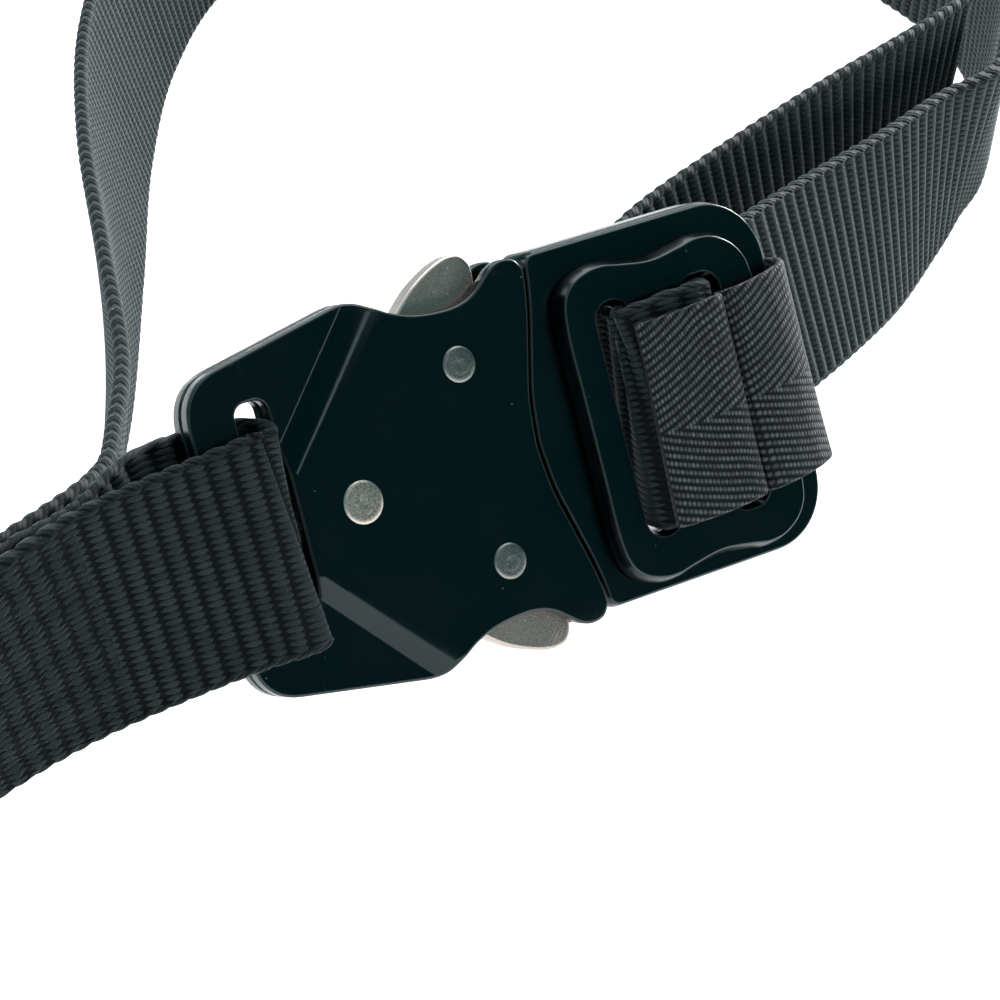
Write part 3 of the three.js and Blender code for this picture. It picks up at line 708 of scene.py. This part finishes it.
# Adjuster: a waisted plate with two slots, lying on the frame.
adjuster = {"back": 3.0, "front": 5.3, "rim": 0.28, "draft": 0.55, "wall": 1.4, "shift": -0.7,
            "slotCorner": 1.7,
            "slots": [(18.4, 22.1, 13.6, -0.4), (30.3, 34.8, 13.75, -0.45)]}  # left, right, half, shift
adjusterEdge = [(13.25, 6.0), (13.25, 12.0), (13.9, 15.9), (15.6, 18.0), (18.2, 19.05), (20.6, 19.2),
                (23.0, 18.75), (27.0, 18.2), (31.0, 18.7), (33.6, 19.15), (36.2, 18.8), (38.7, 17.3),
                (40.2, 15.1), (40.7, 12.4)]


def makeAdjuster(material):
    shift = adjuster["shift"]
    upper = list(reversed(curveThrough(adjusterEdge)))
    loops = [[(u, v + shift) for u, v in upper + mirrored(upper)]]
    for left, right, half, low in adjuster["slots"]:
        loops.append(slotLoop(left, right, half, adjuster["slotCorner"], low))
    frontRim = rimProfile(adjuster["rim"], draft=adjuster["draft"], wall=adjuster["wall"])
    bm = plateBody(loops, adjuster["back"], adjuster["front"], frontRim, rimProfile(adjuster["rim"]))
    piece = finishPiece(bm, "adjusterPlate", "loop", material, ["adjuster_plate"], toFrame)
    keepFlatsFlat(piece)


# Straps: stations give the strap's middle and the direction of its upper edge.
web = {"width": 25.0, "thick": 2.2, "rib": 2.66, "rows": 5, "ribDepth": 0.5, "faceColumns": 24,
       "edgeColumns": 6, "scallop": 0.36, "scallopRest": 0.6, "strandSlope": 0.36, "strand": 0.6, "ply": 2.5,
       "sewnFrom": 0.25, "sewnFlat": 0.7, "sewnFade": 1.5, "foldWithin": (0.05, 0.35), "sewnWithin": 0.12}
tape = {"width": 24.4, "thick": 0.9, "rowLength": 0.4, "faceColumns": 24, "edgeColumns": 4}
plySteps, courseSteps = 12, 40  # points between two stations
edgeRound, edgeFade = 0.8, 1.6  # how far a strap's edge stands out, and how soon the ribs end on it
moved = Vector((-4.7847, -86.7221, 0.1428))  # from the tables' origin to the frame's
# u, v, n of the webbing round the strap bar, with the skew and the spread of its upper edge
eyeTable = [(-38.0, 0.2, -2.9), (-33.5, 0.5, -3.6), (-29.6, 0.5, -3.75), (-27.6, 0.3, -3.3),
            (-26.2, 0, -2.0), (-25.3, -0.6, 0, -0.03), (-25.45, -1.3, 2.2, -0.045, 1.03),
            (-26.6, -1.6, 3.5, -0.045, 1.03), (-29.0, -1.7, 3.9, -0.04, 1.02), (-33.5, -1.9, 3.6)]
# the same for the webbing through the adjuster
threadTable = [(32.7, 1.2, -4.6), (32.2, 0.9, -1.0), (31.95, 0.7, 2.6), (31.9, 0.7, 5.1, 0.05),
               (31.6, 0.7, 6.4, 0.05), (30.5, 0.7, 6.95, 0.03), (26.9, 0.6, 7.05),
               (24.0, 0.1, 7.05, 0, 1.03), (22.3, -0.3, 6.9, 0.01, 1.05), (21.2, -0.5, 6.3, 0.02, 1.07),
               (20.8, -0.5, 5.4, 0.02, 1.07), (20.7, -0.5, 4.3, 0.02, 1.06), (20.75, 0, 2.2, 0.02, 1.03),
               (20.95, 0.8, -1.0), (21.2, 1.2, -4.6)]
# and for the tape over the bars and round the frame's end
tapeTable = [(20.3, -1.5, 8.7), (21.8, -1.56, 8.85), (24.0, -1.58, 8.9), (27.4, -1.45, 8.9),
             (30.4, -1.2, 8.85), (31.7, -1.12, 8.6), (32.7, -1.06, 8.1, 0.02), (33.2, -1.03, 7.5, 0.02),
             (33.5, -1.02, 6.9, 0.02), (33.8, -1.01, 6.45, 0.02), (34.1, -1.0, 6.85, 0.02),
             (34.5, -0.98, 7.3, 0.02), (35.8, -0.9, 7.6), (37.6, -0.76, 7.5), (39.8, -0.54, 7.05),
             (42.0, -0.25, 6.35), (44.4, 0.1, 4.9), (45.8, 0.33, 2.6), (46.3, 0.45, -0.2),
             (45.7, 0.4, -2.9), (44.0, 0.25, -4.1), (41.2, 0, -4.2), (37.4, -0.4, -4.2)]
# x, y, z of the sewn tab's front ply, and the level part of its upper edge's direction
tabTable = [(-30.5, -24.3, 21.0, -0.25, 0.36), (-38.0, -29.6, 20.6, -0.21, 0.26),
            (-45.5, -35.6, 19.2, -0.15, 0.14), (-52.5, -42.0, 17.2, -0.1, 0.05),
            (-59.0, -49.0, 15.0, -0.06, 0), (-64.4, -55.8, 13.0, -0.04, 0)]
# the same for the loop round the leg
loopTable = [(-42.4, -20.5, 16.8, -0.14, 0.22), (-41.3, -10.5, 15.0, 0.01, 0.12),
             (-42.2, 2.0, 13.6, 0.095, 0.03), (-43.4, 20.0, 12.7, 0.14, 0), (-45.9, 50.0, 12.4, -0.07, 0),
             (-49.6, 86.0, 12.2, -0.26, 0), (-52.0, 122.0, 12.0, -0.32, 0),
             (-50.6, 156.0, 12.1, -0.28, 0.03), (-43.6, 188.0, 12.3, -0.18, 0.06),
             (-28.4, 214.0, 12.5, -0.06, 0.06), (-4.0, 229.0, 12.5, 0, 0.04),
             (23.0, 228.0, 12.5, 0.04, 0.05), (46.5, 213.0, 12.4, 0.12, 0.06),
             (64.2, 189.4, 12.3, 0.2, 0.04), (74.2, 165.0, 12.3, 0.08, 0.02), (77.0, 140.0, 12.3, 0.1, 0),
             (73.7, 116.8, 12.4, 0.13, -0.02), (70.0, 105.0, 12.6, 0.2, -0.035),
             (63.7, 94.0, 12.9, 0.04, 0.05), (54.8, 76.0, 14.4, -0.1, 0.2),
             (45.6, 59.5, 16.4, -0.19, 0.32), (36.4, 43.5, 18.2, -0.23, 0.37),
             (29.2, 30.6, 19.2, -0.25, 0.39)]
# and for the free tail
tailTable = [(17.2, 27.0, 20.0, -0.25, 0.38), (22.6, 42.4, 19.6, -0.22, 0.34),
             (35.4, 64.0, 19.4, -0.14, 0.24), (48.6, 85.0, 19.2, -0.04, 0.1),
             (60.6, 104.0, 18.8, 0.08, -0.02), (67.4, 116.1, 18.4, 0.15, -0.055)]


def inBuckle(row):
    skew = row[3] if len(row) > 3 else 0.0
    spread = row[4] if len(row) > 4 else 1.0
    return fromBuckle(*row[:3]), (across + along * skew).normalized() * spread


def onFloor(row):
    x, y, z, wx, wy = row
    return Vector((x, y, z)) + moved, Vector((wx, wy, math.sqrt(1 - wx * wx - wy * wy)))


# Line through points as rows of numbers, with its corner rounding set by the points' spacing.
def smoothLine(points, steps):
    points = np.array([tuple(p) for p in points])
    points = np.vstack([2 * points[0] - points[1], points, 2 * points[-1] - points[-2]])
    share = np.arange(steps)[:, None] / steps
    line = []
    for a, b, c, d in zip(points, points[1:], points[2:], points[3:]):
        gaps = [max(np.linalg.norm(q - p) ** 0.5, 1e-4) for p, q in ((a, b), (b, c), (c, d))]
        leave = ((b - a) / gaps[0] - (c - a) / (gaps[0] + gaps[1]) + (c - b) / gaps[1]) * gaps[1]
        arrive = ((c - b) / gaps[1] - (d - b) / (gaps[1] + gaps[2]) + (d - c) / gaps[2]) * gaps[1]
        line.append(b + share * (leave + share * (-3 * b + 3 * c - 2 * leave - arrive
                                                  + share * (2 * b - 2 * c + leave + arrive))))
    return np.vstack([*line, points[-2:-1]])


def tabPly(depth):
    rows = [onFloor(row) for row in tabTable]
    line = smoothLine([p for p, w in rows], plySteps)
    ply = []
    for i, (p, w) in enumerate(rows):
        spot = i * plySteps
        tangent = Vector(line[min(spot + 1, len(line) - 1)] - line[max(spot - 1, 0)]).normalized()
        ply.append((p - w.cross(tangent).normalized() * depth, w))
    return ply


def tabFold():
    front, rear = tabPly(0), tabPly(2 * web["ply"])
    tangent = (front[-1][0] - front[-2][0]).normalized()
    centre = (front[-1][0] + rear[-1][0]) / 2
    reach = front[-1][0] - centre
    fold = []
    for angle in (45, 90, 135):
        t = math.radians(angle)
        fold.append((centre + reach * math.cos(t) + tangent * reach.length * math.sin(t), front[-1][1]))
    return fold


# The strap's course: places and directions of its middle at even steps along it.
def strapCourse(stations, width, step):
    centre = smoothLine([p for p, w in stations], courseSteps)
    edge = smoothLine([p + w * width / 2 for p, w in stations], courseSteps)
    lengths = np.concatenate([[0], np.cumsum(np.linalg.norm(np.diff(centre, axis=0), axis=1))])
    count = int(lengths[-1] / step)
    run = np.linspace(0, lengths[-1], count + 1)

    def pick(values):
        return np.stack([np.interp(run, lengths, values[:, k]) for k in range(3)], 1)

    place = pick(centre)
    tangent = np.gradient(place, axis=0)
    tangent /= np.linalg.norm(tangent, axis=1)[:, None]
    upper = pick(edge) - place
    spread = np.linalg.norm(upper, axis=1)[:, None] / (width / 2)
    upper -= tangent * (upper * tangent).sum(1)[:, None]
    upper /= np.linalg.norm(upper, axis=1)[:, None]
    return run, place, upper * spread, np.cross(tangent, upper)


# Section of a strap: two faces joined by round edges. Columns: across, through, their outward parts,
# how much of a face it is, the way round the section and the distance from the edge's middle.
def strapSection(width, thick, faceColumns, edgeColumns):
    half, radius = width / 2, thick / 2
    flat = half - radius * edgeRound
    rows = []
    for side, start in ((1, -flat), (-1, flat + math.pi * radius)):
        for k in range(faceColumns):
            walk = 2 * flat * k / faceColumns
            rows.append((side * (walk - flat), side * radius, 0, side, 1, start + walk, 0))
        for k in range(edgeColumns):
            t = math.pi * k / edgeColumns
            push = math.sin(t)
            rows.append((side * (flat + (half - flat) * push), side * radius * math.cos(t), side * push,
                         side * math.cos(t), max(0, 1 - edgeFade * push), start + 2 * flat + radius * t,
                         radius * (t - math.pi / 2)))
    return np.array(rows), 2 * flat + math.pi * radius


def strapBody(run, place, upper, face, section, half, height, mapRun=None):
    rows, columns = len(run), len(section)
    bm = bmesh.new()
    bmesh.ops.create_grid(bm, x_segments=rows - 1, y_segments=columns, size=0.5)
    mesh = bpy.data.meshes.new("strap")
    bm.to_mesh(mesh)
    flat = np.empty(len(mesh.vertices) * 3)
    mesh.vertices.foreach_get("co", flat)
    flat = flat.reshape(-1, 3)
    i = np.rint((flat[:, 0] + 0.5) * (rows - 1)).astype(int)
    j = np.rint((flat[:, 1] + 0.5) * columns).astype(int)
    part = section[j % columns]
    swell = height(run[i], part)
    a = part[:, 0] + part[:, 2] * swell
    b = part[:, 1] + part[:, 3] * swell
    spots = place[i] + upper[i] * a[:, None] + face[i] * b[:, None]
    mesh.vertices.foreach_set("co", (spots * mm).ravel())
    corners = np.empty(len(mesh.loops), int)
    mesh.loops.foreach_get("vertex_index", corners)
    around = np.append(section[:, 5], section[0, 5] + 2 * half)[j]
    layer = mesh.uv_layers.new(name="cut")
    length = (run if mapRun is None else mapRun)[i]
    layer.data.foreach_set("uv", np.stack([length[corners], around[corners]], 1).ravel() * mm)
    bm.free()
    bm = bmesh.new()
    bm.from_mesh(mesh)
    bpy.data.meshes.remove(mesh)
    bmesh.ops.remove_doubles(bm, verts=bm.verts, dist=1e-7)
    bmesh.ops.holes_fill(bm, edges=[e for e in bm.edges if e.is_boundary], sides=0)
    bmesh.ops.recalc_face_normals(bm, faces=bm.faces)
    return bm


# How far a spot along the strap lies inside the sewn length, 0 to 1.
def sewnShare(run, sewn):
    fade = web["sewnFade"]
    return np.clip((run - sewn[0]) / fade, 0, 1) * np.clip((sewn[1] - run) / fade, 0, 1)


# Ribs across both faces, flattened where the plies are sewn, and plaited strands on the edges.
def webHeight(sewn):
    def height(run, part):
        tight = sewnShare(run, sewn)
        rib = np.abs(np.sin(np.pi * run / web["rib"]))
        lay = run / web["rib"] + web["strandSlope"] * np.abs(part[:, 6])
        strand = np.abs(np.sin(np.pi * lay)) ** web["strand"]
        depth = web["ribDepth"] * (1 - web["sewnFlat"] * tight)
        dent = np.zeros(len(run))
        for line in sewn:
            dent += stitches["dent"] * np.exp(-((run - line) / stitches["lineWidth"]) ** 2)
        for row in stitches["rows"]:
            dent += stitches["rowDent"] * tight * np.exp(-((part[:, 0] - row) / stitches["rowWidth"]) ** 2)
        dent *= part[:, 1] < 0
        plain = part[:, 4]
        loops = strand - web["scallopRest"]
        return plain * ((rib - 1) * depth - dent) + (1 - plain) * loops * web["scallop"]
    return height


# Stitches of the sewn tab: rows along it and a line across at each end, pressed into both outer faces.
stitches = {"rows": (-9.6, -4.8, 0.0, 4.8, 9.6), "pitch": 3.0, "length": 2.0, "thick": 0.34,
            "flat": 0.8, "sunk": 0.12, "line": (-4.5, 6.5), "linePitch": 2.2, "lineWidth": 0.55, "dent": 0.3,
            "rowWidth": 0.8, "rowDent": 0.22, "foldGap": 3.0}


def addStitch(bm, spot, direction, outside):
    thick, length = stitches["thick"], stitches["length"]
    made = bmesh.ops.create_uvsphere(bm, u_segments=8, v_segments=6, radius=0.5)["verts"]
    side = outside.cross(direction).normalized()
    sides = (side * thick, outside * thick * stitches["flat"], direction * length)
    turned = Matrix(sides).transposed().to_4x4()
    bmesh.ops.transform(bm, verts=made, matrix=Matrix.Translation(spot) @ turned)


def makeStitches(course, sewn, fold, material):
    run, place, upper, face = course
    bm = bmesh.new()

    def put(at, over, crossing):
        i = min(int(at / run[-1] * (len(run) - 1)), len(run) - 2)
        outside = -Vector(face[i])
        depth = web["thick"] / 2 - stitches["dent"] - stitches["sunk"]
        spot = Vector(place[i]) + Vector(upper[i]) * over + outside * depth
        direction = Vector(upper[i]) if crossing else Vector(place[i + 1] - place[i]).normalized()
        addStitch(bm, spot, direction, outside)

    for line in sewn:
        low, high = stitches["line"]
        count = int((high - low) / stitches["linePitch"])
        for k in range(count + 1):
            put(line, low + (high - low) * k / count, True)
    for first, last in ((sewn[0], fold - stitches["foldGap"]), (fold + stitches["foldGap"], sewn[1])):
        count = int((last - first) / stitches["pitch"])
        for k in range(count):
            for row in stitches["rows"]:
                put(first + (k + 0.5) * (last - first) / count, row, False)
    bmesh.ops.scale(bm, vec=(mm, mm, mm), verts=bm.verts)
    finishPiece(bm, "tabStitches", "loop", material)


def makeWebbingPiece():
    rear, front, third = tabPly(web["ply"]), tabPly(0), tabPly(2 * web["ply"])
    head = rear[-2:0:-1] + [inBuckle(row) for row in eyeTable]
    stations = head + front[1:] + tabFold() + third[:2:-1]
    stations += [onFloor(row) for row in loopTable] + [inBuckle(row) for row in threadTable]
    stations += [onFloor(row) for row in tailTable]
    course = strapCourse(stations, web["width"], web["rib"] / web["rows"])
    run, place = course[:2]

    def runAt(spot, first, last):  # the run's value next to a spot, looked for between two shares of it
        stretch = slice(int(first * len(run)), int(last * len(run)))
        return run[stretch][np.argmin(np.linalg.norm(place[stretch] - np.array(spot), axis=1))]

    first, last = web["foldWithin"]
    fold = runAt(tabFold()[1][0], first, last)
    share = fold / run[-1]
    start = front[1][0].lerp(front[2][0], web["sewnFrom"])
    sewn = (runAt(start, first, share), runAt(third[3][0], share, share + web["sewnWithin"]))
    section, half = strapSection(web["width"], web["thick"], web["faceColumns"], web["edgeColumns"])
    bm = strapBody(*course, section, half, webHeight(sewn))
    strap = finishPiece(bm, "mainWebbing", "loop", makeWebbing(half, sewn), ["main_webbing"])
    print("webbing length", round(run[-1], 1), "mm, sewn from", [round(s, 1) for s in sewn])
    makeStitches(course, sewn, fold, makeThread())


def makeTapePiece():
    course = strapCourse([inBuckle(row) for row in tapeTable], tape["width"], tape["rowLength"])
    section, half = strapSection(tape["width"], tape["thick"], tape["faceColumns"], tape["edgeColumns"])
    shown = course[1] - course[3] * tape["thick"] / 2  # the weave is laid out along the outer face
    outerRun = np.concatenate([[0], np.cumsum(np.linalg.norm(np.diff(shown, axis=0), axis=1))])
    bm = strapBody(*course, section, half, lambda run, part: np.zeros(len(run)), outerRun)
    band = finishPiece(bm, "adjusterTape", "loop", makeTape(half), ["adjuster_tape"])


# Stage, light and camera
stageLook = {"floor": 12.0, "grey": 0.86, "glow": 0.95, "drift": 0.02, "room": (0.012, 0.16, 0.175, 1),
             "backdrop": (0.95, 0.95, 0.95, 1), "lampAim": (0, -0.05, 0.02)}
lamps = [
    {"name": "roof", "at": (0.0, 0.40, 0.80), "size": 1.1, "power": 12.0},
    {"name": "rightBack", "at": (0.58, 0.92, 0.24), "size": 0.4, "power": 17.0},
    {"name": "leftSide", "at": (-0.75, 0.1, 0.45), "size": 0.5, "power": 1.8},
    {"name": "front", "at": (0.42, -0.56, 0.58), "size": 0.25, "power": 0.5},
]
photoView = {"at": (-0.00137, -0.4622, 0.24177), "tilt": 59.1, "lens": 135.9, "sensor": 36.0,
             "clip": 0.01}


def makeStage():
    bm = bmesh.new()
    bmesh.ops.create_grid(bm, x_segments=8, y_segments=8, size=stageLook["floor"])
    mesh = bpy.data.meshes.new("floor")
    bm.to_mesh(mesh)
    bm.free()
    # The floor is a light table: it glows a little, so that shadows stay faint.
    material, tree, shader = newMaterial("pale floor", Roughness=0.8, Specular_IOR_Level=0.1,
                                         Emission_Color=(1, 1, 1, 1), Emission_Strength=stageLook["glow"])
    grey = stageLook["grey"]
    pale = grey + stageLook["drift"]
    tone = noise(tree, objectPlace(tree), 4.0)
    base = blendColour(tree, tone, (grey, grey, grey, 1), (pale, pale, pale, 1))
    tree.links.new(base, shader.inputs["Base Color"])
    mesh.materials.append(material)
    addObject("floor", mesh)


def makeLight():
    for lamp in lamps:
        light = bpy.data.lights.new(lamp["name"], "AREA")
        light.size = lamp["size"]
        light.energy = lamp["power"]
        holder = addObject(lamp["name"], light)
        holder.location = lamp["at"]
        aim = Vector(stageLook["lampAim"]) - holder.location
        holder.rotation_euler = aim.to_track_quat("-Z", "Y").to_euler()
    world = bpy.data.worlds.new("studio")
    scene.world = world
    world.use_nodes = True
    tree = world.node_tree
    room = tree.nodes["Background"]
    room.inputs["Color"].default_value = stageLook["room"]
    room.inputs["Strength"].default_value = 1.0
    # Behind the floor the backdrop is seen pale, while the room itself lights and mirrors dimly.
    backdrop = addNode(tree, "ShaderNodeBackground")
    backdrop.inputs["Color"].default_value = stageLook["backdrop"]
    seen = addNode(tree, "ShaderNodeLightPath").outputs["Is Camera Ray"]
    either = addNode(tree, "ShaderNodeMixShader")
    for socket, value in zip(either.inputs, (seen, room.outputs[0], backdrop.outputs[0])):
        tree.links.new(value, socket)
    tree.links.new(either.outputs[0], tree.nodes["World Output"].inputs["Surface"])


def makeCamera():
    camera = bpy.data.cameras.new("photoCamera")
    camera.lens = photoView["lens"]
    camera.sensor_width = photoView["sensor"]
    camera.clip_start = photoView["clip"]
    holder = addObject("photoCamera", camera)
    holder.location = photoView["at"]
    holder.rotation_euler = (math.radians(photoView["tilt"]), 0, 0)
    scene.camera = holder
    scene.view_settings.view_transform = "Standard"


makeStage()
makeLight()
makeCamera()
print("floor, lamps and camera placed")
black = makeAnodised()
makePlates(black)
makeMaleFrame(black)
makeAdjuster(black)
steel = makeSteel("lever steel", leverLook)
makeLever("upper", 1, steel)
makeLever("lower", -1, steel)
makeRivet("centre", makeSteel("bright rivet steel", centreLook), "rivet_centre")
dull = makeSteel("side rivet steel", sideLook)
makeRivet("upper", dull, "rivet_upper")
makeRivet("lower", dull, "rivet_lower")
makeWebbingPiece()
makeTapePiece()
